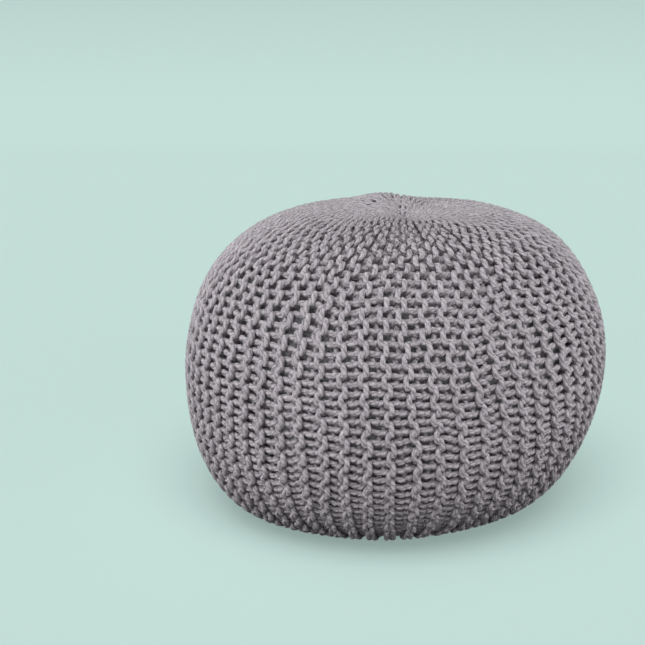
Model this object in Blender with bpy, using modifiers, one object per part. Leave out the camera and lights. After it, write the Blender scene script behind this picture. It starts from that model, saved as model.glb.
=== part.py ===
"""A knitted pouf: a round, tightly filled liner inside a chunky knitted cover.

Metres, +Z up. The pouf stands on the XY plane at the origin, its front towards -Y. The cover is one knitted
wall that follows the liner all round and is gathered to a small open eye at the top and at the bottom. Both
pieces are the same turned form, drawn inwards by a different depth and then leaned a little to one side, as a
filled bag settles.
"""

import bpy
import numpy as np

# The form of the whole pouf, outside the yarn.
DIAMETER = 0.500
HEIGHT = 0.352
BELLY_HEIGHT = 0.166
BASE_RADIUS = 0.140

# How square each quarter of the side's curve is: 2 is a true ellipse, more is fuller.
CROWN_SHOULDER = 3.85
CROWN_RISE = 1.91
FOOT_SHOULDER = 2.19
FOOT_RISE = 2.03

# The drawn-in ends, where the cover is gathered.
TOP_DIMPLE_DEPTH = 0.0035
TOP_DIMPLE_RADIUS = 0.045
BASE_DIMPLE_DEPTH = 0.0035
BASE_DIMPLE_RADIUS = 0.035
EYE_RADIUS = 0.004

# How far each level's centre stands towards +X.
LEAN_LEVELS = {
    "height_share": (0.0, 0.2, 0.4, 0.6, 0.8, 1.0),
    "offset": (-0.0151, -0.0077, -0.0012, 0.0013, 0.0018, 0.0102),
}

# The knitted wall, and the slack between it and the liner.
COVER_THICKNESS = 0.0155
LINER_GAP = 0.0004

# Fineness of the meshes.
TURN_STEPS = 48
CROWN_STEPS = 13
FOOT_STEPS = 8
DIMPLE_STEPS = 3
FINE_STEPS = 2000
MERGE_DISTANCE = 0.00001

YARN_COLOUR = "9D979C"
LINER_COLOUR = "76787C"
CLOTH_ROUGHNESS = 0.9
SHARP_ANGLE = np.radians(50)


def linear_colour(hex_code):
    """An sRGB hex colour as linear RGBA."""
    shares = np.array([int(hex_code[i : i + 2], 16) for i in (0, 2, 4)]) / 255
    low = shares / 12.92
    high = ((shares + 0.055) / 1.055) ** 2.4
    return (*np.where(shares <= 0.04045, low, high), 1.0)


def cloth_material(name, hex_code):
    material = bpy.data.materials.new(name)
    material.use_nodes = True
    shader = material.node_tree.nodes["Principled BSDF"]
    shader.inputs["Base Color"].default_value = linear_colour(hex_code)
    shader.inputs["Roughness"].default_value = CLOTH_ROUGHNESS
    shader.inputs["Metallic"].default_value = 0.0
    return material


def hollow(radius, depth, reach):
    """The depth of a round hollow: deepest on the axis, and level again at its reach."""
    share = np.minimum(radius / reach, 1)
    return depth * (1 + np.cos(np.pi * share)) / 2


def crown(angle):
    """The upper side as (radius, height). The angle is 0 at the belly and a quarter turn at the top."""
    radius = DIAMETER / 2 * np.cos(angle) ** (2 / CROWN_SHOULDER)
    rise = (HEIGHT - BELLY_HEIGHT) * np.sin(angle) ** (2 / CROWN_RISE)
    return radius, BELLY_HEIGHT + rise - hollow(radius, TOP_DIMPLE_DEPTH, TOP_DIMPLE_RADIUS)


def foot(angle):
    """The lower side as (radius, height), from the belly at 0 down to the edge of the flat base."""
    radius = BASE_RADIUS + (DIAMETER / 2 - BASE_RADIUS) * np.cos(angle) ** (2 / FOOT_SHOULDER)
    return radius, BELLY_HEIGHT * (1 - np.sin(angle) ** (2 / FOOT_RISE))


def base(radius):
    """The underside as (radius, height): level, with a hollow in the middle."""
    return radius, hollow(radius, BASE_DIMPLE_DEPTH, BASE_DIMPLE_RADIUS)


def outline():
    """The half outline from the top's middle to the base's middle, as many (radius, height) points."""
    angles = np.linspace(0, np.pi / 2, FINE_STEPS)
    radii = np.linspace(BASE_RADIUS, 0, FINE_STEPS)
    stretches = [crown(angles[::-1]), foot(angles[1:]), base(radii[1:])]
    return np.concatenate([np.stack(stretch, axis=1) for stretch in stretches])


def drawn_in(points, depth):
    """The outline moved inwards by a depth, square to itself."""
    along = np.gradient(points, axis=0)
    along /= np.linalg.norm(along, axis=1, keepdims=True)
    inwards = np.stack([along[:, 1], -along[:, 0]], axis=1)
    moved = points + depth * inwards
    moved[[0, -1], 0] = 0
    return moved


def stations(points):
    """Which of the outline's points the meshes use: the two poles, the rims of the hollows and base, and even
    steps between them."""
    radius, height = points.T
    lower = np.arange(len(points)) >= 2 * FINE_STEPS - 2
    upper = height > BELLY_HEIGHT
    belly = np.flatnonzero(upper)[-1] + 1
    top_rim = np.flatnonzero(upper & (radius <= TOP_DIMPLE_RADIUS))[-1]
    foot_end = np.flatnonzero(lower)[0]
    base_rim = np.flatnonzero(lower & (radius <= BASE_DIMPLE_RADIUS))[0]
    length = np.concatenate([[0], np.cumsum(np.linalg.norm(np.diff(points, axis=0), axis=1))])
    ends = (0, top_rim, belly, foot_end, base_rim, len(points) - 1)
    steps = (DIMPLE_STEPS, CROWN_STEPS, FOOT_STEPS, 1, DIMPLE_STEPS)
    chosen = [0]
    for start, end, count in zip(ends[:-1], ends[1:], steps):
        marks = np.linspace(length[start], length[end], count + 1)[1:]
        chosen += list(np.searchsorted(length, marks - MERGE_DISTANCE))
    return np.array(chosen)


def with_eyes(points):
    """The profile cut off at the eyes, in place of running on to the axis."""
    cut = points.copy()
    for end, beside in ((0, 1), (-1, -2)):
        share = EYE_RADIUS / points[beside, 0]
        cut[end] = points[end] + share * (points[beside] - points[end])
    return cut


def lean(height):
    """How far a level's centre stands towards +X: a smooth curve through the rows of LEAN_LEVELS."""
    offsets = np.array(LEAN_LEVELS["offset"])
    slopes = np.gradient(offsets)
    place = np.clip(height / HEIGHT, 0, 1) * (len(offsets) - 1)
    row = np.minimum(place.astype(int), len(offsets) - 2)
    t = place - row
    ease = t * t * (3 - 2 * t)
    leave = t * (1 - t) ** 2 * slopes[row]
    arrive = t * t * (1 - t) * slopes[row + 1]
    return offsets[row] * (1 - ease) + offsets[row + 1] * ease + leave - arrive


def turned(name, profile, closed, material, collection):
    """A profile of (radius, height) points turned about Z and leaned: a solid of revolution that settled."""
    count = len(profile)
    edges = [(i, i + 1) for i in range(count - 1)] + [(count - 1, 0)] * closed
    outline_mesh = bpy.data.meshes.new(name + "_profile")
    outline_mesh.from_pydata([(radius, 0, height) for radius, height in profile], edges, [])
    guide = bpy.data.objects.new(name + "_profile", outline_mesh)
    collection.objects.link(guide)
    screw = guide.modifiers.new("turn", "SCREW")
    screw.steps = TURN_STEPS
    screw.render_steps = TURN_STEPS
    screw.use_merge_vertices = True
    screw.merge_threshold = MERGE_DISTANCE
    graph = bpy.context.evaluated_depsgraph_get()
    mesh = bpy.data.meshes.new_from_object(guide.evaluated_get(graph))
    bpy.data.objects.remove(guide)
    bpy.data.meshes.remove(outline_mesh)

    places = np.empty(len(mesh.vertices) * 3)
    mesh.vertices.foreach_get("co", places)
    places = places.reshape(-1, 3)
    places[:, 0] += lean(places[:, 2])
    mesh.vertices.foreach_set("co", places.ravel())
    mesh.shade_smooth()
    mesh.set_sharp_from_angle(angle=SHARP_ANGLE)
    mesh.name = name
    mesh.materials.append(material)
    solid = bpy.data.objects.new(name, mesh)
    collection.objects.link(solid)
    return solid


def main():
    for old in list(bpy.data.objects):
        bpy.data.objects.remove(old)
    collection = bpy.data.collections.new("knitted_pouf")
    bpy.context.scene.collection.children.link(collection)

    fine = outline()
    chosen = stations(fine)
    outside = fine[chosen]
    wall_inside = drawn_in(fine, COVER_THICKNESS)[chosen]
    liner_side = drawn_in(fine, COVER_THICKNESS + LINER_GAP)[chosen]

    # The cover's profile runs down its outer side, through the bottom eye and back up inside.
    cover_profile = np.concatenate([with_eyes(outside), with_eyes(wall_inside)[::-1]])

    yarn = cloth_material("cotton_yarn", YARN_COLOUR)
    liner_cloth = cloth_material("liner_cloth", LINER_COLOUR)
    turned("knitted_cover", cover_profile, True, yarn, collection)
    turned("filled_liner", liner_side, False, liner_cloth, collection)


main()
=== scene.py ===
# %% [markdown]
# # A knitted pouf
# A round floor pouf is a stuffed bag, the liner, inside a cover knitted from thick cotton yarn. This
# script dresses the plain solid model of it: a smooth liner of cloth, and over it every loop of yarn of
# the cover, in place of the plain wall that stands for the knit in the solid model. It starts by loading
# that model, whose box sets all sizes.

import bpy
import numpy as np
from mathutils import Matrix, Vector


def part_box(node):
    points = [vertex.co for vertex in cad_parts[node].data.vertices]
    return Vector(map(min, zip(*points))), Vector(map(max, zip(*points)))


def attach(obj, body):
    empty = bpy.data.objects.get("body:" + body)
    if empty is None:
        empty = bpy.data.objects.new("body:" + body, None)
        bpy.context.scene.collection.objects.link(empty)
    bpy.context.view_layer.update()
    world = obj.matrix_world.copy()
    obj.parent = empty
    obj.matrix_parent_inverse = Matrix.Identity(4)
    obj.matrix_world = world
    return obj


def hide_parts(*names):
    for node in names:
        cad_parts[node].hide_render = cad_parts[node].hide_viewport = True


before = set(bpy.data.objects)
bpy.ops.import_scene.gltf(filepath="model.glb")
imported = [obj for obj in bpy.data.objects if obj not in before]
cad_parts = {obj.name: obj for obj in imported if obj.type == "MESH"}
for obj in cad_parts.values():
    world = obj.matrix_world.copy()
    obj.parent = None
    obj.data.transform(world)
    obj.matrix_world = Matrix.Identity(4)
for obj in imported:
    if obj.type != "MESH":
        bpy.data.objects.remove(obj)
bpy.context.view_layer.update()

# %% [markdown]
# ## Sizes
# The cover is garter stitch worked sideways: its rows run from the top to the bottom like the lines of
# longitude on a globe. Two rows make one rib, so the number of ribs and the number of stitches along a
# row, with the thickness of the yarn, say all that the knit needs.

# %% Sizes of the knit
LOW, HIGH = (np.array(corner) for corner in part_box("knitted_cover"))
DIAMETER = HIGH[1] - LOW[1]
HEIGHT = HIGH[2] - LOW[2]
BELLY_HEIGHT = 0.166  # metres above the floor where the pouf is widest
BASE_RADIUS = 0.140  # of the flat it stands on

YARN = 0.0065  # metres across, where nothing pulls or squeezes it
KNIT_DEPTH = 0.0155  # from the knit's front to its back
KNIT_PROUD = 0.0012  # how far the knit is brought out, to stand a little proud of the solid model
RIBS = 64
STITCHES = 35  # along a row
RIB_SWAY = 0.0027  # how far a rib zigzags to each side, at the belly
print(f"pouf {DIAMETER:.3f} m across, {HEIGHT:.3f} m high, {RIBS} ribs of {STITCHES} stitches")

# %% [markdown]
# ## The form
# A stuffed bag that stands on the floor is a turned form with a full shoulder, a round foot and a flat
# base, drawn in a little where it is gathered, and leaning slightly. It could be a lathe profile drawn by
# hand, but a curve with a few named sizes is easier to keep the same for the liner and the knit: both are
# this outline, moved inwards.

# %% Half outline and lean
# The powers of the outline's two superellipses: across and up, above the belly and then below it
CROWN_SHOULDER, CROWN_RISE = 3.85, 1.91
FOOT_SHOULDER, FOOT_RISE = 2.19, 2.03
TOP_DIMPLE = {"depth": 0.006, "reach": 0.040}
BASE_DIMPLE = {"depth": 0.0035, "reach": 0.035}
TOP_HUMP = {"place": (-0.020, 0.044), "height": 0.0125, "spread": 0.024}
# Metres to the side, at even steps from the floor to the top
LEAN_OFFSETS = (-0.0151, -0.0077, -0.0012, 0.0013, 0.0018, 0.0102)
FINE_STEPS = 3000  # points on each line that the others are read from


def ease(t):
    """A smooth step from 0 to 1 as t goes from 0 to 1: 3t^2 - 2t^3."""
    t = np.clip(t, 0, 1)
    return t * t * (3 - 2 * t)


def hollow(radius, depth, reach):
    """A round hollow: half a cosine wave from its full depth on the axis to nothing at its reach."""
    return depth * (1 + np.cos(np.pi * np.minimum(radius / reach, 1))) / 2


def half_outline():
    """(radius, height) from the top's middle down to the base's middle. Above and below the belly each
    side is a superellipse: radius goes as cos(a)^(2/shoulder) and rise as sin(a)^(2/rise), over a quarter
    turn of a."""
    a = np.linspace(0, np.pi / 2, FINE_STEPS)
    r_up = DIAMETER / 2 * np.cos(a) ** (2 / CROWN_SHOULDER)
    z_up = BELLY_HEIGHT + (HEIGHT - BELLY_HEIGHT) * np.sin(a) ** (2 / CROWN_RISE) - hollow(r_up, **TOP_DIMPLE)
    r_down = BASE_RADIUS + (DIAMETER / 2 - BASE_RADIUS) * np.cos(a) ** (2 / FOOT_SHOULDER)
    z_down = BELLY_HEIGHT * (1 - np.sin(a) ** (2 / FOOT_RISE))
    r_base = np.linspace(BASE_RADIUS, 0, FINE_STEPS)
    radius = np.concatenate([r_up[::-1], r_down[1:], r_base[1:]])
    height = np.concatenate([z_up[::-1], z_down[1:], hollow(r_base[1:], **BASE_DIMPLE)])
    return np.stack([radius, height], axis=1)


def even_points(points, count):
    """The same line with its points at even distances, and those distances."""
    run = np.concatenate([[0], np.cumsum(np.linalg.norm(np.diff(points, axis=0), axis=1))])
    marks = np.linspace(0, run[-1], count)
    return np.stack([np.interp(marks, run, column) for column in points.T], axis=1), marks


def layer(depth):
    """A layer of the pouf at a depth under its outside, as a table by distance down its side: how far
    down (s), the radius (r), the height (z) and the outward direction (nr, nz)."""
    outside, _ = even_points(half_outline(), FINE_STEPS)
    along = np.gradient(outside, axis=0)
    along /= np.linalg.norm(along, axis=1, keepdims=True)
    inwards = np.stack([along[:, 1], -along[:, 0]], axis=1)
    moved = outside + depth * inwards
    moved[[0, -1], 0] = 0
    line, s = even_points(moved, FINE_STEPS)
    slope = np.gradient(line, axis=0)
    slope /= np.linalg.norm(slope, axis=1, keepdims=True)
    return {"s": s, "r": line[:, 0], "z": line[:, 1], "nr": -slope[:, 1], "nz": slope[:, 0]}


def lean(height):
    """How far the centre of the pouf stands to the side at each height: a smooth curve through
    LEAN_OFFSETS, which are evenly spaced up the pouf. Between two of them it is the cubic that meets both
    offsets and both slopes."""
    offsets = np.array(LEAN_OFFSETS)
    slopes = np.gradient(offsets)
    place = np.clip(height / HEIGHT, 0, 1) * (len(offsets) - 1)
    row = np.minimum(place.astype(int), len(offsets) - 2)
    t = place - row
    bend = t * (1 - t) ** 2 * slopes[row] - t * t * (1 - t) * slopes[row + 1]
    return offsets[row] * (1 - ease(t)) + offsets[row + 1] * ease(t) + bend


def on_layer(table, s, around, out):
    """Points on a layer: s down its side, an angle around from the front, and a distance out of the
    layer. Close to the gathered top the cloth also rises in a small hump, a bell curve of the distance
    from its place."""
    r, z, nr, nz = (np.interp(s, table["s"], table[name]) for name in ("r", "z", "nr", "nz"))
    radius = r + out * nr
    height = z + out * nz
    x, y = radius * np.sin(around), -radius * np.cos(around)
    away = (x - TOP_HUMP["place"][0]) ** 2 + (y - TOP_HUMP["place"][1]) ** 2
    hump = TOP_HUMP["height"] * np.exp(-away / (2 * TOP_HUMP["spread"] ** 2))
    return np.stack([x + lean(height), y, height + np.where(height > HEIGHT / 2, hump, 0)], axis=-1)


knit = layer(KNIT_DEPTH / 2 - KNIT_PROUD)
LENGTH = knit["s"][-1]
print(f"the knit's middle layer is {LENGTH:.3f} m from pole to pole")

# %% [markdown]
# ## Unevenness
# Hand-loomed cloth over a soft filling is never regular: ribs wander, stitches are a little long or
# short, and the filling pushes here and gives there. A sum of a few slow waves, all with whole numbers of
# turns around the pouf so that they close, gives that without any seam, and a fixed seed makes it the
# same every time.

# %% Slow waves
SEED = 11
rng = np.random.default_rng(SEED)


def slow_waves(count, turns, waves_down, size):
    """A smooth uneven field over the pouf: count sine waves, with up to so many turns around and so many
    waves from pole to pole, each with its own phase. Returns a function of the angle around and the share
    of the way down."""
    around_waves = rng.integers(0, turns + 1, count)
    down_waves = rng.uniform(-waves_down, waves_down, count)
    phases = rng.uniform(0, 2 * np.pi, count)
    strengths = rng.uniform(0.5, 1.0, count)
    strengths *= size / np.sqrt((strengths**2).sum() / 2)

    def field(around, share):
        total = 0.0
        for turn, down, phase, strength in zip(around_waves, down_waves, phases, strengths):
            total = total + strength * np.sin(turn * around + 2 * np.pi * down * share + phase)
        return total

    return field


# How far stitches stray down the side, ribs sideways, and the whole cloth outwards: some 1 to 2 mm each
stitch_drift = slow_waves(count=12, turns=22, waves_down=7, size=0.0022)
rib_drift = slow_waves(count=10, turns=12, waves_down=5, size=0.0010)
filling_push = slow_waves(count=8, turns=7, waves_down=3, size=0.0009)
push_mm = 1000 * filling_push(np.linspace(0, 2 * np.pi, 90)[:, None], np.linspace(0, 1, 60)[None, :])
print(f"the filling pushes the cloth from {push_mm.min():.1f} to {push_mm.max():.1f} mm outwards")

# %% [markdown]
# ## The camera, the floor and the light
# The pouf is seen from a little above, from six times its radius away. A plain pale floor that curves up
# into a backdrop and large soft lamps let the knit make its own small shadows.

# %% Camera
CAMERA_RISE = np.radians(16)
CAMERA_DISTANCE = float(6 * DIAMETER / 2)
FOCAL, SENSOR = 69.1, 36  # millimetres
SHIFT = (-0.1124, 0.0447)  # shares of the picture's width: the pouf stands to the right and low

aim = Vector((0, 0, float(HEIGHT / 2)))
back = Vector((0, -np.cos(CAMERA_RISE), np.sin(CAMERA_RISE)))
camera = bpy.data.objects.new("camera", bpy.data.cameras.new("camera"))
camera.data.lens = FOCAL
camera.data.sensor_width = SENSOR
camera.data.shift_x, camera.data.shift_y = SHIFT
camera.location = aim + CAMERA_DISTANCE * back
camera.rotation_euler = back.to_track_quat("Z", "Y").to_euler()
bpy.context.scene.collection.objects.link(camera)
bpy.context.scene.camera = camera
print("camera at", np.round(camera.location, 3).tolist())

# %% [markdown]
# ## Colours and nodes
# Every finish below is a few shader nodes on one Principled shader. Three small functions keep them
# short: one for the colours, which are measured as sRGB hex codes, one for a new material and one for a
# node.

# %% Colours and nodes


def colour(hex_code):
    """An sRGB hex colour as linear numbers with full opacity, by the standard's curve: a straight line in
    the darkest part, and above it a power of 2.4."""
    shares = np.array([int(hex_code[i : i + 2], 16) for i in (0, 2, 4)]) / 255
    bent = np.where(shares <= 0.04045, shares / 12.92, ((shares + 0.055) / 1.055) ** 2.4)
    return (*bent.tolist(), 1.0)


def new_material(name, hex_code, roughness):
    """A material with one Principled shader that starts from an even colour. Returns the material, its
    nodes and the shader."""
    material = bpy.data.materials.new(name)
    material.use_nodes = True
    tree = material.node_tree
    shader = tree.nodes["Principled BSDF"]
    shader.inputs["Base Color"].default_value = colour(hex_code)
    shader.inputs["Roughness"].default_value = roughness
    return material, tree, shader


def add_node(tree, kind, settings=None, inputs=None):
    """Adds a node. settings are its own properties, and inputs maps a socket's name or number to a value
    or, to make a link, to another node's output."""
    node = tree.nodes.new(kind)
    for name, value in (settings or {}).items():
        setattr(node, name, value)
    for name, value in (inputs or {}).items():
        if isinstance(value, bpy.types.NodeSocket):
            tree.links.new(value, node.inputs[name])
        else:
            node.inputs[name].default_value = value
    return node


# %% [markdown]
# ## Floor and backdrop
# The pouf stands on a pale mint studio paper, pulled up behind into a backdrop. It could be two planes,
# but a quarter-round sweep between them leaves no line. The paper throws no light back on the pouf, whose
# foot stays dark.

# %% Floor and backdrop
# In metres
FLOOR_HALF_WIDTH = 16.0
FLOOR_FRONT, FLOOR_BACK = -16.0, 3.2
SWEEP_RADIUS = 1.5
BACKDROP_HEIGHT = 5.0
SWEEP_POINTS = 17  # along the quarter round


def mesh_object(name, points, faces, material):
    """An object at the origin from an array of points and a list of faces, each a list of point numbers."""
    mesh = bpy.data.meshes.new(name)
    mesh.from_pydata(points.reshape(-1, 3).tolist(), [], faces)
    mesh.materials.append(material)
    mesh.shade_smooth()
    piece = bpy.data.objects.new(name, mesh)
    bpy.context.scene.collection.objects.link(piece)
    return piece


def grid_faces(rows, columns):
    """The faces of a grid of rows by columns of points, turned so that down the rows and then along the
    columns is anticlockwise seen from outside."""
    first = np.arange(rows - 1)[:, None] * columns + np.arange(columns - 1)
    return np.stack([first, first + columns, first + columns + 1, first + 1], axis=-1).reshape(-1, 4)


turn = np.linspace(0, np.pi / 2, SWEEP_POINTS)
sweep_y = FLOOR_BACK + SWEEP_RADIUS * np.sin(turn)
sweep_z = SWEEP_RADIUS * (1 - np.cos(turn))
side_y = np.concatenate([[FLOOR_FRONT], sweep_y, sweep_y[-1:]])
side_z = np.concatenate([[0], sweep_z, [BACKDROP_HEIGHT]])
edges = (-FLOOR_HALF_WIDTH, FLOOR_HALF_WIDTH)
sweep = np.stack([np.stack([np.full_like(side_y, x), side_y, side_z], axis=1) for x in edges])
paper, _, _ = new_material("matt_backdrop_paper", "D4F1EA", 0.95)
floor = mesh_object("floor", sweep, grid_faces(2, len(side_y))[:, ::-1].tolist(), paper)
floor.visible_diffuse = False
print("floor and backdrop,", [round(float(side), 2) for side in floor.dimensions], "m")

# %% [markdown]
# ## Lamps
# Broad light from both sides rakes over the knit and draws its relief, and a third lamp from the front
# and above keeps its holes from going black. Two more light only the paper, and one of them gives the
# soft shadow at the foot. Area lamps close by would do as well, but a sun lights the whole paper evenly.

# %% Lamps
LAMP_DISTANCE = 8  # a sun lights the same from anywhere: this only sets where its mark stands
LAMPS = {
    # name: how far around from the front it stands, how high, and how wide it looks, all in degrees; its
    # strength in watts per square metre; what it lights; and whether the pouf shades it
    "key": (-76, 9, 60, 3.15, "pouf", True),
    "fill": (78, 9, 60, 2.15, "pouf", True),
    "front": (4, 55, 45, 1.9, "pouf", True),
    "overhead": (0, 80, 60, 1.33, "paper", False),
    "downlight": (0, 62, 50, 1.05, "paper", True),
}
for name, (around, height, width, strength, _, _) in LAMPS.items():
    lamp = bpy.data.objects.new(name, bpy.data.lights.new(name, "SUN"))
    lamp.data.angle = np.radians(width)
    lamp.data.energy = strength
    around, height = np.radians(around), np.radians(height)
    place = Vector((np.sin(around) * np.cos(height), -np.cos(around) * np.cos(height), np.sin(height)))
    lamp.location = LAMP_DISTANCE * place
    lamp.rotation_euler = place.to_track_quat("Z", "Y").to_euler()
    bpy.context.scene.collection.objects.link(lamp)
    print(name, "lamp at", np.round(lamp.location, 2).tolist())

# %% [markdown]
# ## The room
# A room lights the pouf from all around, and here it is bright only from just above the horizon to a
# third of the way up. An even grey all round would do, but it would fill the holes of the knit with
# light from overhead.

# %% Room
ROOM_STRENGTH = 0.7
world = bpy.data.worlds.new("soft_room")
world.use_nodes = True
sky = world.node_tree.nodes["Background"]
sky.inputs["Strength"].default_value = ROOM_STRENGTH
heading = add_node(world.node_tree, "ShaderNodeTexCoord")
rise = add_node(world.node_tree, "ShaderNodeSeparateXYZ", inputs={"Vector": heading.outputs["Generated"]})
greys = add_node(world.node_tree, "ShaderNodeValToRGB", inputs={"Fac": rise.outputs["Z"]})
greys.color_ramp.elements[0].color = colour("1A1A1A")
greys.color_ramp.elements[1].position = 0.5
greys.color_ramp.elements[1].color = colour("2E2D2E")
greys.color_ramp.elements.new(0.03).color = colour("F6F5F6")
greys.color_ramp.elements.new(0.3).color = colour("F6F5F6")
world.node_tree.links.new(greys.outputs["Color"], sky.inputs["Color"])
bpy.context.scene.world = world
bpy.context.scene.view_settings.view_transform = "Standard"
print("room light at", ROOM_STRENGTH, "of its greys")

# %% [markdown]
# ## How the cloth folds
# Towards the gathers the same number of ribs shares a shorter way around. On the real cover the cloth
# then folds along its ribs, so that only they stay at the surface. The folds could be found by a cloth
# simulation, but only their depth shows, and one smooth step gives that to the liner and the yarn alike.

# %% Depth of the folds
# How much deeper the folds are than the knit at the belly, at the top and at the base; the radius where
# they begin, there and there; over what length they deepen; and the radius within which they die away.
FOLD = {"extra": (0.85, 0.25), "top": 0.210, "base": 0.245, "over": 0.08, "gather": 0.06}
# The waves of the yarn's way in and out of the cloth: how many turns in a stitch, and how far, in metres.
# Together they swing it from the knit's front to its back.
LIFT_WAVES = {1: 0.00425, 3: 0.00217, 5: -0.00147}
KNIT_SWING = 2 * sum(LIFT_WAVES.values())


def fold(radius, share):
    """How many times deeper the knit is than at the belly. Where the pouf narrows, the same cloth has
    less room around, so it folds along its ribs: the depth eases up by FOLD's extra as the radius falls.
    The first extra is the top's and the last the base's, where the weight presses the folds flat. At the
    gather the folds end."""
    start = FOLD["top"] + (FOLD["base"] - FOLD["top"]) * share
    extra = np.interp(share, (0, 1), FOLD["extra"])
    return 1 + extra * ease((start - radius) / FOLD["over"]) * ease(radius / FOLD["gather"])


shoulder_and_foot = fold(radius=np.array([0.18, 0.16]), share=np.array([0.15, 0.85]))
print("times deeper at the shoulder and the foot:", shoulder_and_foot.round(2).tolist())

# %% [markdown]
# ## The liner
# The inner bag is plain grey woven cloth, filled tight, and shows in the holes of the knit. It could be
# made of sewn panels, but no seam shows through small holes, so it is the pouf's outline turned once
# around at the depth of the knit. Its map counts the threads around and down, and the weave is a bump on
# that map.

# %% Surface of the liner
LINER_SINK = 0.0006  # metres that the liner stays clear of the knit's back
LINER_GRID = (60, 72)  # points down its side and around
THREADS_AROUND = 800
THREAD = 0.0018  # metres between threads: some four times as coarse as real cloth, so that it shows


def closed_ball(name, table, rows, columns, material):
    """A layer turned all the way round: rings of points down the side between one point at each pole,
    sunk as deep as the folds over it. Its UV map cloth_way counts threads around and down, with a whole
    number around, so that the weave closes."""
    s = np.linspace(0, table["s"][-1], rows + 2)[1:-1]
    around = np.linspace(0, 2 * np.pi, columns, endpoint=False)
    push = filling_push(around[None, :], s[:, None] / table["s"][-1])
    sink = KNIT_SWING * (fold(np.interp(s, table["s"], table["r"]), s / table["s"][-1]) - 1)
    rings = on_layer(table, s[:, None], around[None, :], push - sink[:, None])
    poles = on_layer(table, table["s"][[0, -1]], np.zeros(2), -sink[[0, -1]])
    points = np.concatenate([rings.reshape(-1, 3), poles])
    ring = np.arange(columns)
    nxt = (ring + 1) % columns
    first = np.arange(rows - 1)[:, None] * columns
    quads = np.stack([first + ring, first + columns + ring, first + columns + nxt, first + nxt], axis=-1)
    last = (rows - 1) * columns
    top, bottom = rows * columns, rows * columns + 1
    fans = [(top, int(a), int(b)) for a, b in zip(ring, nxt)]
    fans += [(bottom, int(last + b), int(last + a)) for a, b in zip(ring, nxt)]
    piece = mesh_object(name, points, quads.reshape(-1, 4).tolist() + fans, material)

    across = np.stack([ring, ring, ring + 1, ring + 1], axis=-1)[None].repeat(rows - 1, axis=0)
    down = np.stack([s[:-1], s[1:], s[1:], s[:-1]], axis=-1)[:, None].repeat(columns, axis=1)
    fan_across = np.stack([ring + 0.5, ring, ring + 1, ring + 0.5, ring + 1, ring], axis=-1)
    fan_down = np.array([0, s[0], s[0], table["s"][-1], s[-1], s[-1]])[None].repeat(columns, axis=0)
    u = np.concatenate([across.ravel(), fan_across[:, :3].ravel(), fan_across[:, 3:].ravel()])
    v = np.concatenate([down.ravel(), fan_down[:, :3].ravel(), fan_down[:, 3:].ravel()])
    threads = np.stack([u / columns * THREADS_AROUND, v / THREAD], axis=1)
    piece.data.uv_layers.new(name="cloth_way").data.foreach_set("uv", threads.ravel())
    return piece


# %% [markdown]
# ## Cloth of the liner
# Plain woven cotton is matt: light falls away evenly over it, and only its threads and slubs break the
# grey. An image would tile, so two sine waves that cross make the weave, and noise makes the slubs.

# %% Cotton cloth
SLUB = 0.004  # metres across a lighter or darker patch of the cloth
WEAVE_RELIEF = 0.0004  # metres
liner_cloth, cloth_nodes, cloth_shader = new_material("cotton_liner_cloth", "9A9A9D", roughness=0.9)
threads_way = add_node(cloth_nodes, "ShaderNodeUVMap", {"uv_map": "cloth_way"})
warp_weft = add_node(cloth_nodes, "ShaderNodeSeparateXYZ", inputs={"Vector": threads_way.outputs["UV"]})
waves = []
for direction in ("X", "Y"):
    half_turns = add_node(
        cloth_nodes,
        "ShaderNodeMath",
        {"operation": "MULTIPLY"},
        {0: warp_weft.outputs[direction], 1: np.pi},
    )
    wave = add_node(cloth_nodes, "ShaderNodeMath", {"operation": "SINE"}, {0: half_turns.outputs["Value"]})
    waves.append(wave)
weave = add_node(
    cloth_nodes,
    "ShaderNodeMath",
    {"operation": "MULTIPLY"},
    {0: waves[0].outputs["Value"], 1: waves[1].outputs["Value"]},
)
weave_bump = add_node(
    cloth_nodes,
    "ShaderNodeBump",
    inputs={"Height": weave.outputs["Value"], "Strength": 0.6, "Distance": WEAVE_RELIEF},
)
cloth_nodes.links.new(weave_bump.outputs["Normal"], cloth_shader.inputs["Normal"])
cloth_spot = add_node(cloth_nodes, "ShaderNodeTexCoord")
slub = add_node(
    cloth_nodes,
    "ShaderNodeTexNoise",
    inputs={"Vector": cloth_spot.outputs["Object"], "Scale": 1 / SLUB, "Detail": 3.0, "Roughness": 0.6},
)
cloth_tone = add_node(cloth_nodes, "ShaderNodeValToRGB", inputs={"Fac": slub.outputs["Fac"]})
cloth_tone.color_ramp.elements[0].position = 0.35
cloth_tone.color_ramp.elements[0].color = colour("828285")
cloth_tone.color_ramp.elements[1].position = 0.65
cloth_tone.color_ramp.elements[1].color = colour("B0B0B3")
cloth_nodes.links.new(cloth_tone.outputs["Color"], cloth_shader.inputs["Base Color"])
print(THREADS_AROUND, "threads around the liner, and one every", THREAD * 1000, "mm down")

# %% [markdown]
# ## Place the liner
# The liner is a stuffed bag, and the pouf holds its form on its own. It stands for the solid model's
# filled liner, which is hidden in its place.

# %% Make the liner
liner = closed_ball("liner", layer(KNIT_DEPTH + LINER_SINK), *LINER_GRID, liner_cloth)
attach(liner, "root")
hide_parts("filled_liner")
print("liner:", len(liner.data.polygons), "faces")

# %% [markdown]
# ## The knit
# In garter stitch each row's loops stand in front of the last row's at one edge and behind it at the
# other, so every second join between rows is a raised rib and the joins between lie behind. A pattern
# could be repeated around the pouf, but when each join has a line of its own, ribs can wander and stop.

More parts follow.
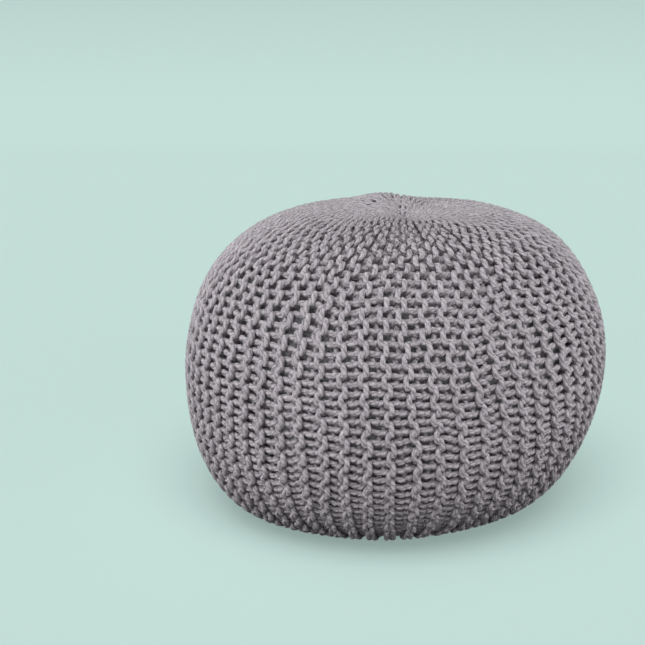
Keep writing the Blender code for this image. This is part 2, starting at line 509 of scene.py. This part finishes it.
# %% Where the ribs run
JOINS = 2 * RIBS
RIB_TWIST = np.radians(9)  # how far around a rib comes on its way from the top to the base
RIB_WANDER = 0.0007  # metres that each of a rib's own waves moves it sideways
RIB_WAVES = (2.0, 3.7, 5.4)  # how often those waves turn from the top to the base
WANDER_FADES, DRIFT_FADES = 0.15, 0.1  # the radii inside which a rib's own waves and the drift die away
POLE_GUARD = 0.02  # the least radius that a sideways distance is turned into an angle at
# The ribs that stop short of the eye: every so many, from the first of them, and how far from the middle
# they stop
SHORT_RIBS = (
    {"every": 2, "from": 1, "stop": 0.042},
    {"every": 4, "from": 2, "stop": 0.021},
    {"every": 8, "from": 4, "stop": 0.0100},
)
EYE = 0.0058  # the radius of the eye, where the other ribs stop
# How far the back joins slide towards the next rib, in joins: a little at the belly, and more where the
# pouf narrows and the cloth folds over itself.
BACK_SLIDE = {"least": 0.12, "more": 0.5, "from": 0.235, "over": 0.10}
CLOSING = 0.014  # over what length the joins beside a stopped rib close up
STOP_SPREAD = 0.15  # the share by which a rib stops sooner or later, at the top and at the base
join_phase = rng.uniform(0, 2 * np.pi, (JOINS, len(RIB_WAVES)))
stop_shift = rng.uniform(-STOP_SPREAD, STOP_SPREAD, (RIBS, 2))


def nearest_rib(place, every, start):
    """The rib number nearest to a place counted in ribs, out of start, start + every, and so on."""
    return start + every * np.round((place - start) / every)


def join_place(join, radius):
    """Where a join lies, counted in joins around the pouf. The raised ribs are the even joins. The others
    lie behind, between the ribs, where BACK_SLIDE puts them, and where a rib stops, the two beside it
    close up on its line."""
    place = join.astype(float)
    behind = join % 2 == 1
    crowded = ease((BACK_SLIDE["from"] - radius) / BACK_SLIDE["over"])
    place = np.where(behind, place + BACK_SLIDE["least"] + BACK_SLIDE["more"] * crowded, place)
    for short in SHORT_RIBS:
        # a hair to one side settles which of two equally near ribs is meant
        target = 2 * nearest_rib(place / 2 + 1e-6, short["every"], short["from"])
        closed = ease((short["stop"] + CLOSING - radius) / CLOSING)
        place = np.where(behind, place + (target - place) * closed, place)
    return place


def layer_radius(s):
    """The radius of the knit's middle layer at a distance down its side."""
    return np.interp(s, knit["s"], knit["r"])


def join_angle(join, s):
    """Where a join between two rows lies at a distance down the side: evenly spaced, with the twist, the
    slow drift of the ribs and a small wander of its own. The twist goes as the share of the way down less
    one sine wave, so that it comes in slowly at both ends."""
    share = s / LENGTH
    radius = layer_radius(s)
    twist = RIB_TWIST * (share - np.sin(2 * np.pi * share) / (2 * np.pi))
    even = 2 * np.pi * join_place(join, radius) / JOINS + twist
    phases = join_phase[join % JOINS]
    wander = sum(np.sin(2 * np.pi * often * share + phases[..., k]) for k, often in enumerate(RIB_WAVES))
    own = RIB_WANDER * wander * np.minimum(radius / WANDER_FADES, 1)
    drift = rib_drift(even, share) * np.minimum(radius / DRIFT_FADES, 1)
    return even + (drift + own) / np.maximum(radius, POLE_GUARD)


front_rib = np.degrees(join_angle(np.array([0, 0]), np.array([0.25, 0.75]) * LENGTH))
print("the front rib in the upper and the lower half, in degrees:", front_rib.round(1).tolist())


# %% [markdown]
# ## The shape of a loop
# On the real cover one yarn goes back and forth through every loop. Each loop is a wave from one join to
# the next and back, wide at its head and narrow at its foot, passing in front of one neighbour and behind
# the other. The loops could be copied as one small mesh, but then they couldn't crowd together or thin
# out towards the gathers. So each row is one long line, and its place, angle and depth are sums of waves.

# %% Shape of a loop
TOP_STITCH_STRETCH = 0.12  # the share by which the top's stitches are longer, and the base's shorter
# In stitches: how far a loop's head swings on at the top and at the base of the pouf, how far the wave
# that levels its legs goes, and how far the legs arch
LOOP_WIDENING = {"top": 0.12, "base": 0.160}
LEG_LEVELLING = 0.060
LEG_ARCH = 0.12
LOOP_WAVES = (0.31, 0.54, 0.77)  # how often the waves that make the loops uneven turn in a stitch
loop_phase = rng.uniform(0, 2 * np.pi, (JOINS, len(LOOP_WAVES)))


def stitch_run(share):
    """How far down the side a share of the stitches reaches. The stitches are stretched near the top and
    short near the base: the length of each goes as one plus half a turn of a cosine wave."""
    return LENGTH * (share + TOP_STITCH_STRETCH * np.sin(np.pi * share) / np.pi)


def loop_run(progress):
    """How far down the yarn has got, in stitches: in step with progress, but swinging on along each arc
    and back along each leg, which gives the loop its round head, with a wave of twice the speed that
    keeps the legs level. Each leg also arches up a little between its joins, as a sine squared."""
    theta = 2 * np.pi * progress
    more_below = LOOP_WIDENING["base"] - LOOP_WIDENING["top"]
    widening = LOOP_WIDENING["top"] + more_below * ease(2 * progress / STITCHES)
    arch = LEG_ARCH * np.sin(theta) ** 2
    return progress + widening * np.sin(2 * theta) + LEG_LEVELLING * np.sin(4 * theta) - arch


def lift(theta):
    """How far out the yarn is at each turn of its loop: the sum of LIFT_WAVES, each a cosine. It stays
    high along the arc at the join, dips under the next row's arc, and is half-way in at mid gap."""
    return sum(size * np.cos(turns * theta) for turns, size in LIFT_WAVES.items())


stitch_mm = 1000 * np.array([LENGTH / STITCHES, np.pi * DIAMETER / JOINS])
print("a stitch at the belly is, down and across, in mm:", stitch_mm.round(1).tolist())


# %% [markdown]
# ## Room for the ribs
# Towards the gathers the ribs crowd until they touch. If every one went on to the eye they would run
# through each other, so on the real cover they slip one over the next, and only some of them show at the
# eye. Here every second rib stops, then every second of the rest, and then again, each a little sooner or
# later than its neighbours. They could all be thinned instead, but then the eye would be knit with thread.

# %% Where a row begins and ends


def rib_room(radius):
    """The room across that each rib has at a radius: the way around over the ribs that reach so far in."""
    ribs_left = RIBS / np.prod([1 + (radius < short["stop"]) for short in SHORT_RIBS], axis=0)
    return 2 * np.pi * radius / ribs_left


def row_ends(row):
    """The first and last stitch of a row, from the radius where its rib stops at the top and the base."""
    rib = (row + 1) // 2 % RIBS
    stop = np.full(rib.shape, EYE)
    for short in SHORT_RIBS[::-1]:
        stop = np.where(rib % short["every"] == short["from"], short["stop"], stop)
    progress = np.linspace(0, 1, FINE_STEPS)
    radius = layer_radius(stitch_run(progress))
    belly = np.argmax(radius)
    tops = stop * (1 + stop_shift[rib, 0])
    bases = stop * (1 + stop_shift[rib, 1])
    first = np.interp(tops, radius[:belly], progress[:belly])
    last = np.interp(bases, radius[belly:][::-1], progress[belly:][::-1])
    return STITCHES * first, STITCHES * last


shoulder_and_eye = 1000 * rib_room(np.array([0.18, 0.02]))
print("room for a rib at the shoulder and near the eye, in mm:", shoulder_and_eye.round(1).tolist())


# %% [markdown]
# ## How the ribs sway and the yarn fills them
# A rib is a zigzag, because the arcs of its two rows pull it one way and the other. It sways more where
# the stitches are long and the ribs apart, and not at all near the eye, where the yarns lie side by side.
# Cotton yarn also gives: it is thin where it is pulled or pressed. Both could be left even, but the eye
# reads them before any other detail.

# %% Sway and fullness
SWAY_GROWTH = {"power": 0.8, "most": 1.35}  # it goes as the belly's radius over the rib's, to this power
SWAY_SHARE = 0.38  # how much of the room beside its yarn a rib may sway into, to each side
TOP_SWAY = {"place": (0.12, 0.42), "share": (1.45, 1.0)}  # the long stitches of the upper half sway more
STRAIGHT_NEAR_EYE = {"level": 0.02, "over": 0.03}  # ribs are straight inside this radius, and then ease
LOOP_UNEVENNESS = 0.13  # the share by which each of LOOP_WAVES changes the sway
TIGHTEST_SQUEEZE = 0.74
EASY_ROOM = 2.5  # yarn widths for each rib, below which the yarn is squeezed thinner
ARC_SWELL = -0.03  # the yarn is a little fuller in the legs than in the arcs, which are pulled tight
# How full the yarn is: at each share of the way down, the share of its plain thickness. The top's long
# stitches and the foot's pressed ones draw it thinner.
FULLNESS = {
    "place": (0.0, 0.03, 0.09, 0.16, 0.34, 0.60, 0.80),
    "share": (1.15, 1.1, 0.90, 0.89, 1.04, 0.98, 0.76),
}


def rib_sway(row, progress, radius, share):
    """How far a rib sways to each side, in metres: RIB_SWAY, growing as the pouf narrows and uneven from
    loop to loop by three sine waves, but never past SWAY_SHARE of the room left beside its yarn."""
    phases = loop_phase[row % JOINS]
    uneven = sum(np.sin(2 * np.pi * often * progress + phases[..., k]) for k, often in enumerate(LOOP_WAVES))
    growth = np.minimum((DIAMETER / 2 / radius) ** SWAY_GROWTH["power"], SWAY_GROWTH["most"])
    sway = RIB_SWAY * (1 + LOOP_UNEVENNESS * uneven) * growth
    sway = sway * np.interp(share, TOP_SWAY["place"], TOP_SWAY["share"])
    sway = sway * ease((radius - STRAIGHT_NEAR_EYE["level"]) / STRAIGHT_NEAR_EYE["over"])
    return np.minimum(sway, SWAY_SHARE * np.maximum(rib_room(radius) - YARN * TIGHTEST_SQUEEZE, 0))


def yarn_thickness(s, progress):
    """How thick the yarn is: YARN, by FULLNESS for the place and by a cosine wave that turns twice in a
    stitch, and squeezed where a rib has less than its easy room."""
    swell = 1 + ARC_SWELL * np.cos(4 * np.pi * progress)
    swell = swell * np.interp(s / LENGTH, FULLNESS["place"], FULLNESS["share"])
    room = rib_room(layer_radius(s))
    return YARN * swell * np.clip(room / (EASY_ROOM * YARN), TIGHTEST_SQUEEZE, 1)


thickness_at = yarn_thickness(np.array([0.15, 0.5, 0.85]) * LENGTH, progress=0)
print("yarn at the shoulder, the belly and the foot, in mm:", (1000 * thickness_at).round(1).tolist())

# %% [markdown]
# ## The way of the yarn
# With the joins, the loop and the sway settled, the yarn of a row is one line: down the side, across
# between two joins, and out of the cloth and into it. At the gathers the drawn thread pulls front and
# back to one level, and the ends of the yarn go down between their neighbours. A flat piece of knit
# could be bent around the pouf, but it would stretch at the belly and pile up at the eye.

# %% Yarn path of a row
# How much closer the ribs stand in front than behind at the top, and how far that falls off by the base
FRONT_CROWDING = {"top": 0.16, "fall": 0.33}
EYE_FLAT = {"level": 0.022, "over": 0.055}  # front and back are level inside this radius, and then ease
BACK_PRESS = 0.45  # the filling presses the arcs at the back up into the knit
DIVE = {"depth": 0.004, "length": 0.008}  # how far the ends of the yarn go down, and over what length
EYE_GUARD = 0.004  # the least radius that counts


def row_path(row, progress, begin, end):
    """The yarn's middle line in a row, as (s, angle, out). progress counts stitches from the top. In each
    stitch the yarn goes once from the join behind it to the join ahead and back, a cosine wave, with the
    sway of the rib. Out of the cloth it goes as lift says, over and under the next rows, and where the
    cloth folds it goes deeper, with the raised arcs staying at the surface. At its two ends the yarn
    dives into the pouf."""
    theta = 2 * np.pi * progress
    s = stitch_run(np.clip(loop_run(progress) / STITCHES, 0, 1))
    near, far = join_angle(row, s), join_angle(row + 1, s)
    share = s / LENGTH
    s = s + stitch_drift(near, share) * np.sin(np.pi * share)
    radius = np.maximum(layer_radius(s), EYE_GUARD)
    sway = rib_sway(row, progress, radius, share)
    angle = near + (far - near) * (1 - np.cos(theta)) / 2 - sway / radius * np.cos(theta)
    crowding = FRONT_CROWDING["top"] - FRONT_CROWDING["fall"] * share
    angle = angle - crowding * np.sin(angle)
    side = np.where(row % 2 == 0, 1, -1)
    deeper = fold(radius, share)
    out = side * lift(theta)
    out = deeper * np.where(out < 0, BACK_PRESS * out, out) - (deeper - 1) * lift(0)
    out = out * ease((radius - EYE_FLAT["level"]) / EYE_FLAT["over"])
    to_end = np.minimum(s - stitch_run(begin / STITCHES), stitch_run(end / STITCHES) - s)
    dive = DIVE["depth"] * (1 - ease(to_end / DIVE["length"]))
    return s, angle, out - dive + filling_push(angle, share)


_, _, way_out = row_path(np.zeros((1, 1), int), np.linspace(10, 20, 500)[None, :], 0, STITCHES)
swing_mm = 1000 * np.array([way_out.min(), way_out.max()])
print("the first row's yarn swings in and out, in mm:", swing_mm.round(1).tolist())


# %% [markdown]
# ## Tubes of yarn
# The yarn is as round as a cord and squeezes thinner where the ribs crowd. A curve with a bevel would do,
# but a mesh built from the line can hold the squeeze and the map that the yarn's finish needs, and spends
# its points where the yarn bends.

# %% Yarn tubes
POINTS_PER_ROW = 620
YARN_SIDES = 6
MARKS = 721  # points on the one stitch that the steps are worked out from
OUT_STEP = 0.001  # metres, to find which way is out
FLOOR_GAP = 0.0003  # metres that the lowest yarn stays above the floor
ROW_OFFSET = 13.7  # metres between the starts of two rows' maps, more than the yarn in a row


def stitch_marks(turns):
    """Turns places along the yarn into progress in stitches, so that even steps come closer together
    where the yarn bends. The weight at each place of one flat stitch is its speed plus its bend, each
    over its own mean."""
    progress = np.linspace(0, 1, MARKS)
    theta = 2 * np.pi * progress
    width = np.pi * DIAMETER / JOINS
    across = width * (1 - np.cos(theta)) / 2 - RIB_SWAY * np.cos(theta)
    down = LENGTH / STITCHES * loop_run(progress + STITCHES // 2)
    out = lift(theta)
    step = np.gradient(np.stack([across, down, out], axis=1), axis=0)
    speed = np.linalg.norm(step, axis=1)
    bend = np.linalg.norm(np.gradient(step / speed[:, None], axis=0), axis=1)
    weight = speed / speed.mean() + bend / bend.mean()
    run = np.concatenate([[0], np.cumsum((weight[1:] + weight[:-1]) / 2)])
    whole = np.floor(turns)
    return whole + np.interp(turns - whole, run / run[-1], progress)


def tube_rings(centre, outward, thickness):
    """Rings of points around a line. Each ring is square to the line there, and its points are half the
    thickness away, by the cosine of an even angle outwards and by its sine to the side, from the inner
    side on."""
    along = np.gradient(centre, axis=1)
    along /= np.linalg.norm(along, axis=-1, keepdims=True)
    side = np.cross(along, outward)
    side /= np.linalg.norm(side, axis=-1, keepdims=True)
    up = np.cross(side, along)
    beta = np.pi + np.linspace(0, 2 * np.pi, YARN_SIDES, endpoint=False)
    ring = np.cos(beta)[:, None] * up[:, :, None, :] + np.sin(beta)[:, None] * side[:, :, None, :]
    return centre[:, :, None, :] + thickness[:, :, None, None] / 2 * ring


def tube_corners(tubes, steps):
    """The faces of closed tubes, as one list of point numbers and the number of corners of each face:
    first the four-sided faces between each two rings, and then one face across each end."""
    tube_start = np.arange(tubes)[:, None, None] * steps * YARN_SIDES
    first = tube_start + np.arange(steps - 1)[None, :, None] * YARN_SIDES
    corner = np.arange(YARN_SIDES)[None, None, :]
    beside = (corner + 1) % YARN_SIDES
    after = first + YARN_SIDES
    quads = np.stack([first + corner, first + beside, after + beside, after + corner], -1)
    starts = np.arange(tubes)[:, None] * steps * YARN_SIDES + np.arange(YARN_SIDES)[None, ::-1]
    ends = (np.arange(tubes)[:, None] * steps + steps - 1) * YARN_SIDES + np.arange(YARN_SIDES)[None, :]
    corners = np.concatenate([quads.ravel(), starts.ravel(), ends.ravel()])
    sizes = np.concatenate([np.full(quads[..., 0].size, 4), np.full(2 * tubes, YARN_SIDES)])
    return corners, sizes


def tube_map(centre, rows):
    """The map of the same faces' corners: the metres along the yarn, with a start of its own for each
    row, and the turns around it, with the seam on the inner side."""
    steps = np.linalg.norm(np.diff(centre, axis=1), axis=-1).cumsum(axis=1)
    run = np.concatenate([np.zeros((len(rows), 1)), steps], 1)
    run += ROW_OFFSET * rows
    u = np.stack([run[:, :-1], run[:, :-1], run[:, 1:], run[:, 1:]], axis=-1)[:, :, None, :]
    turn = np.arange(YARN_SIDES)[:, None] + np.array([0, 1, 1, 0])
    u, v = np.broadcast_arrays(u, turn[None, None] / YARN_SIDES)
    cap_u = np.concatenate([np.repeat(run[:, 0], YARN_SIDES), np.repeat(run[:, -1], YARN_SIDES)])
    caps = np.stack([cap_u, np.zeros_like(cap_u)], axis=1)
    return np.concatenate([np.stack([u.ravel(), v.ravel()], axis=1), caps])


def yarn_tubes(name, rows, material):
    """One object with the yarn of several rows, each a tube carried along its row's path and closed at
    its ends, with the map yarn_way."""
    rows = np.asarray(rows)[:, None]
    begin, end = row_ends(rows)
    progress = stitch_marks(begin + (end - begin) * np.linspace(0, 1, POINTS_PER_ROW)[None, :])
    s, angle, out = row_path(rows, progress, begin, end)
    centre = on_layer(knit, s, angle, out)
    outward = on_layer(knit, s, angle, out + OUT_STEP) - centre
    points = tube_rings(centre, outward, yarn_thickness(s, progress))
    points[..., 2] = np.maximum(points[..., 2], FLOOR_GAP)
    corners, sizes = tube_corners(len(rows), POINTS_PER_ROW)

    mesh = bpy.data.meshes.new(name)
    mesh.vertices.add(points.size // 3)
    mesh.vertices.foreach_set("co", points.ravel())
    mesh.loops.add(len(corners))
    mesh.loops.foreach_set("vertex_index", corners)
    mesh.polygons.add(len(sizes))
    mesh.polygons.foreach_set("loop_start", np.cumsum(sizes) - sizes)
    mesh.update(calc_edges=True)
    mesh.uv_layers.new(name="yarn_way").data.foreach_set("uv", tube_map(centre, rows).ravel())
    mesh.materials.append(material)
    mesh.shade_smooth()
    piece = bpy.data.objects.new(name, mesh)
    bpy.context.scene.collection.objects.link(piece)
    return piece


# %% [markdown]
# ## Cotton yarn
# The yarn is three strands of soft cotton twisted together, matt, with fine fibres lying along it and a
# faint fuzz. The strands could be modelled one by one, but at three a yarn they would triple the mesh. A
# bump that winds around the tube along its UV map gives the same furrows.

# %% Plied cotton yarn
PLIES = 3
PLY_PITCH = 0.0085  # metres along the yarn from one strand's furrow to the next
FIBRE = 0.0009  # metres across a tuft of fibres: some ten times as coarse as a real one, which would not show
FIBRE_LENGTH = 0.006
DYE_PATCH = 0.05  # metres along the yarn from a lighter to a darker stretch
FUZZ = 0.0013  # metres across a tangle of loose fibres
FURROW_DEPTH = 0.0012  # metres
RELIEF_SHARES = {"fibres": 0.7, "fuzz": 1.1}  # of the furrows' own relief
TONE_SHARES = {"fibres": 1.0, "dye": 0.6, "fuzz": 1.2}
cotton_yarn, yarn_nodes, yarn_shader = new_material("plied_cotton_yarn", "A39EA4", roughness=0.92)
way = add_node(yarn_nodes, "ShaderNodeUVMap", {"uv_map": "yarn_way"})
lengthways_around = add_node(yarn_nodes, "ShaderNodeSeparateXYZ", inputs={"Vector": way.outputs["UV"]})
turns = add_node(
    yarn_nodes,
    "ShaderNodeMath",
    {"operation": "MULTIPLY"},
    {0: lengthways_around.outputs["X"], 1: 1 / PLY_PITCH},
)
winding = add_node(
    yarn_nodes,
    "ShaderNodeMath",
    {"operation": "MULTIPLY_ADD"},
    {0: lengthways_around.outputs["Y"], 1: float(PLIES), 2: turns.outputs["Value"]},
)
half_turn = add_node(
    yarn_nodes,
    "ShaderNodeMath",
    {"operation": "MULTIPLY"},
    {0: winding.outputs["Value"], 1: np.pi},
)
wave = add_node(yarn_nodes, "ShaderNodeMath", {"operation": "SINE"}, {0: half_turn.outputs["Value"]})
strand = add_node(yarn_nodes, "ShaderNodeMath", {"operation": "ABSOLUTE"}, {0: wave.outputs["Value"]})
stretched = add_node(
    yarn_nodes,
    "ShaderNodeMapping",
    inputs={"Vector": way.outputs["UV"], "Scale": (1 / FIBRE_LENGTH, np.pi * YARN / FIBRE, 1)},
)
fibres = add_node(
    yarn_nodes,
    "ShaderNodeTexNoise",
    inputs={"Vector": stretched.outputs["Vector"], "Scale": 1.0, "Detail": 3.0, "Roughness": 0.6},
)
relief = add_node(
    yarn_nodes,
    "ShaderNodeMath",
    {"operation": "MULTIPLY_ADD"},
    {0: fibres.outputs["Fac"], 1: RELIEF_SHARES["fibres"], 2: strand.outputs["Value"]},
)
spot = add_node(yarn_nodes, "ShaderNodeTexCoord")
fuzz = add_node(
    yarn_nodes,
    "ShaderNodeTexNoise",
    inputs={"Vector": spot.outputs["Object"], "Scale": 1 / FUZZ, "Detail": 2.0, "Roughness": 0.6},
)
tangle = add_node(
    yarn_nodes,
    "ShaderNodeMath",
    {"operation": "MULTIPLY_ADD"},
    {0: fuzz.outputs["Fac"], 1: RELIEF_SHARES["fuzz"], 2: relief.outputs["Value"]},
)
furrows = add_node(
    yarn_nodes,
    "ShaderNodeBump",
    inputs={"Height": tangle.outputs["Value"], "Strength": 1.0, "Distance": FURROW_DEPTH},
)
yarn_nodes.links.new(furrows.outputs["Normal"], yarn_shader.inputs["Normal"])
print("furrow every", PLY_PITCH * 1000, "mm along the yarn")

# %% [markdown]
# ## Colour of the yarn, with painted shade in its furrows
# Mid grey cotton with a faint mauve cast takes its dye unevenly: tufts, tangles and whole stretches are
# lighter or darker. The furrows between the strands hold shadow, and that shadow is painted into the
# colour. A flat colour would look like plastic, so three noises share the tone, and a painted shade in the
# furrows is multiplied in.

# %% Dye, mottle and painted furrow shade of the yarn
patches = add_node(
    yarn_nodes,
    "ShaderNodeMapping",
    inputs={"Vector": way.outputs["UV"], "Scale": (1 / DYE_PATCH, 0.3, 1)},
)
dye = add_node(
    yarn_nodes,
    "ShaderNodeTexNoise",
    inputs={"Vector": patches.outputs["Vector"], "Scale": 1.0, "Detail": 2.0},
)
mottle = add_node(
    yarn_nodes,
    "ShaderNodeMath",
    {"operation": "MULTIPLY_ADD"},
    {0: dye.outputs["Fac"], 1: TONE_SHARES["dye"], 2: fibres.outputs["Fac"]},
)
speckle = add_node(
    yarn_nodes,
    "ShaderNodeMath",
    {"operation": "MULTIPLY_ADD"},
    {0: fuzz.outputs["Fac"], 1: TONE_SHARES["fuzz"], 2: mottle.outputs["Value"]},
)
tone = add_node(
    yarn_nodes,
    "ShaderNodeMath",
    {"operation": "DIVIDE"},
    {0: speckle.outputs["Value"], 1: sum(TONE_SHARES.values())},
)
shade = add_node(yarn_nodes, "ShaderNodeValToRGB", inputs={"Fac": tone.outputs["Value"]})
shade.color_ramp.elements[0].position = 0.36
shade.color_ramp.elements[0].color = colour("938E94")
shade.color_ramp.elements[1].position = 0.64
shade.color_ramp.elements[1].color = colour("DBD5DA")
# Sockets 6 and 7 are the two colours that are multiplied, the yarn's tone and the painted shade of its
# furrows, and output 2 is the result
tone_with_painted_shade = add_node(
    yarn_nodes,
    "ShaderNodeMix",
    {"data_type": "RGBA", "blend_type": "MULTIPLY"},
    {"Factor": 1.0, 6: shade.outputs["Color"]},
)
# Painted shade: this ramp, depth, darkens the colour in the furrows between the strands, as the shadow they
# would hold
depth = add_node(yarn_nodes, "ShaderNodeValToRGB", inputs={"Fac": strand.outputs["Value"]})
depth.color_ramp.elements[0].color = colour("BDB9BB")
depth.color_ramp.elements[1].position = 0.45
depth.color_ramp.elements[1].color = colour("FFFFFF")
yarn_nodes.links.new(depth.outputs["Color"], tone_with_painted_shade.inputs[7])
yarn_nodes.links.new(tone_with_painted_shade.outputs[2], yarn_shader.inputs["Base Color"])
# Loose fibres catch some light along the yarn's edges, and soft cotton hardly shines
yarn_shader.inputs["Sheen Weight"].default_value = 0.12
yarn_shader.inputs["Sheen Roughness"].default_value = 0.6
yarn_shader.inputs["Specular IOR Level"].default_value = 0.2
print("three noises share the yarn's tone as", TONE_SHARES)

# %% [markdown]
# ## The cover
# The real cover is one cloth. It is built in eight equal panels of sixteen rows, side by side around the
# pouf, so that no mesh is too heavy. A row's loops pass through the next row's, so the panels join
# without a seam.

# %% Knit the panels
PANELS = 8
ROWS_PER_PANEL = JOINS // PANELS
for number in range(PANELS):
    rows = np.arange(number * ROWS_PER_PANEL, (number + 1) * ROWS_PER_PANEL)
    panel = yarn_tubes(f"knit_panel_{number + 1}", rows, cotton_yarn)
    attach(panel, "root")
    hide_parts("knitted_cover")
    triangles = len(panel.data.loops) - 2 * len(panel.data.polygons)
    print(panel.name, triangles, "triangles")

# %% [markdown]
# ## Which lamp lights what
# In a studio the product and the paper are lit apart: the side lamps are flagged off the paper, so no
# long shadows fall across it. Of the two lamps that light only the paper, the one overhead throws no
# shadow, and the one high in front gives the soft shadow at the foot. It could be one lamp for all, but
# then the paper is never as even as this.

# %% Flag the lamps
meshes = [piece for piece in bpy.context.scene.collection.objects if piece.type == "MESH"]
for name, (_, _, _, _, lit, shaded) in LAMPS.items():
    lit_pieces = bpy.data.collections.new(f"{name}_lights_{lit}")
    for piece in meshes:
        if (piece == floor) == (lit == "paper"):
            lit_pieces.objects.link(piece)
    linking = bpy.data.objects[name].light_linking
    linking.receiver_collection = lit_pieces
    if not shaded:
        linking.blocker_collection = lit_pieces
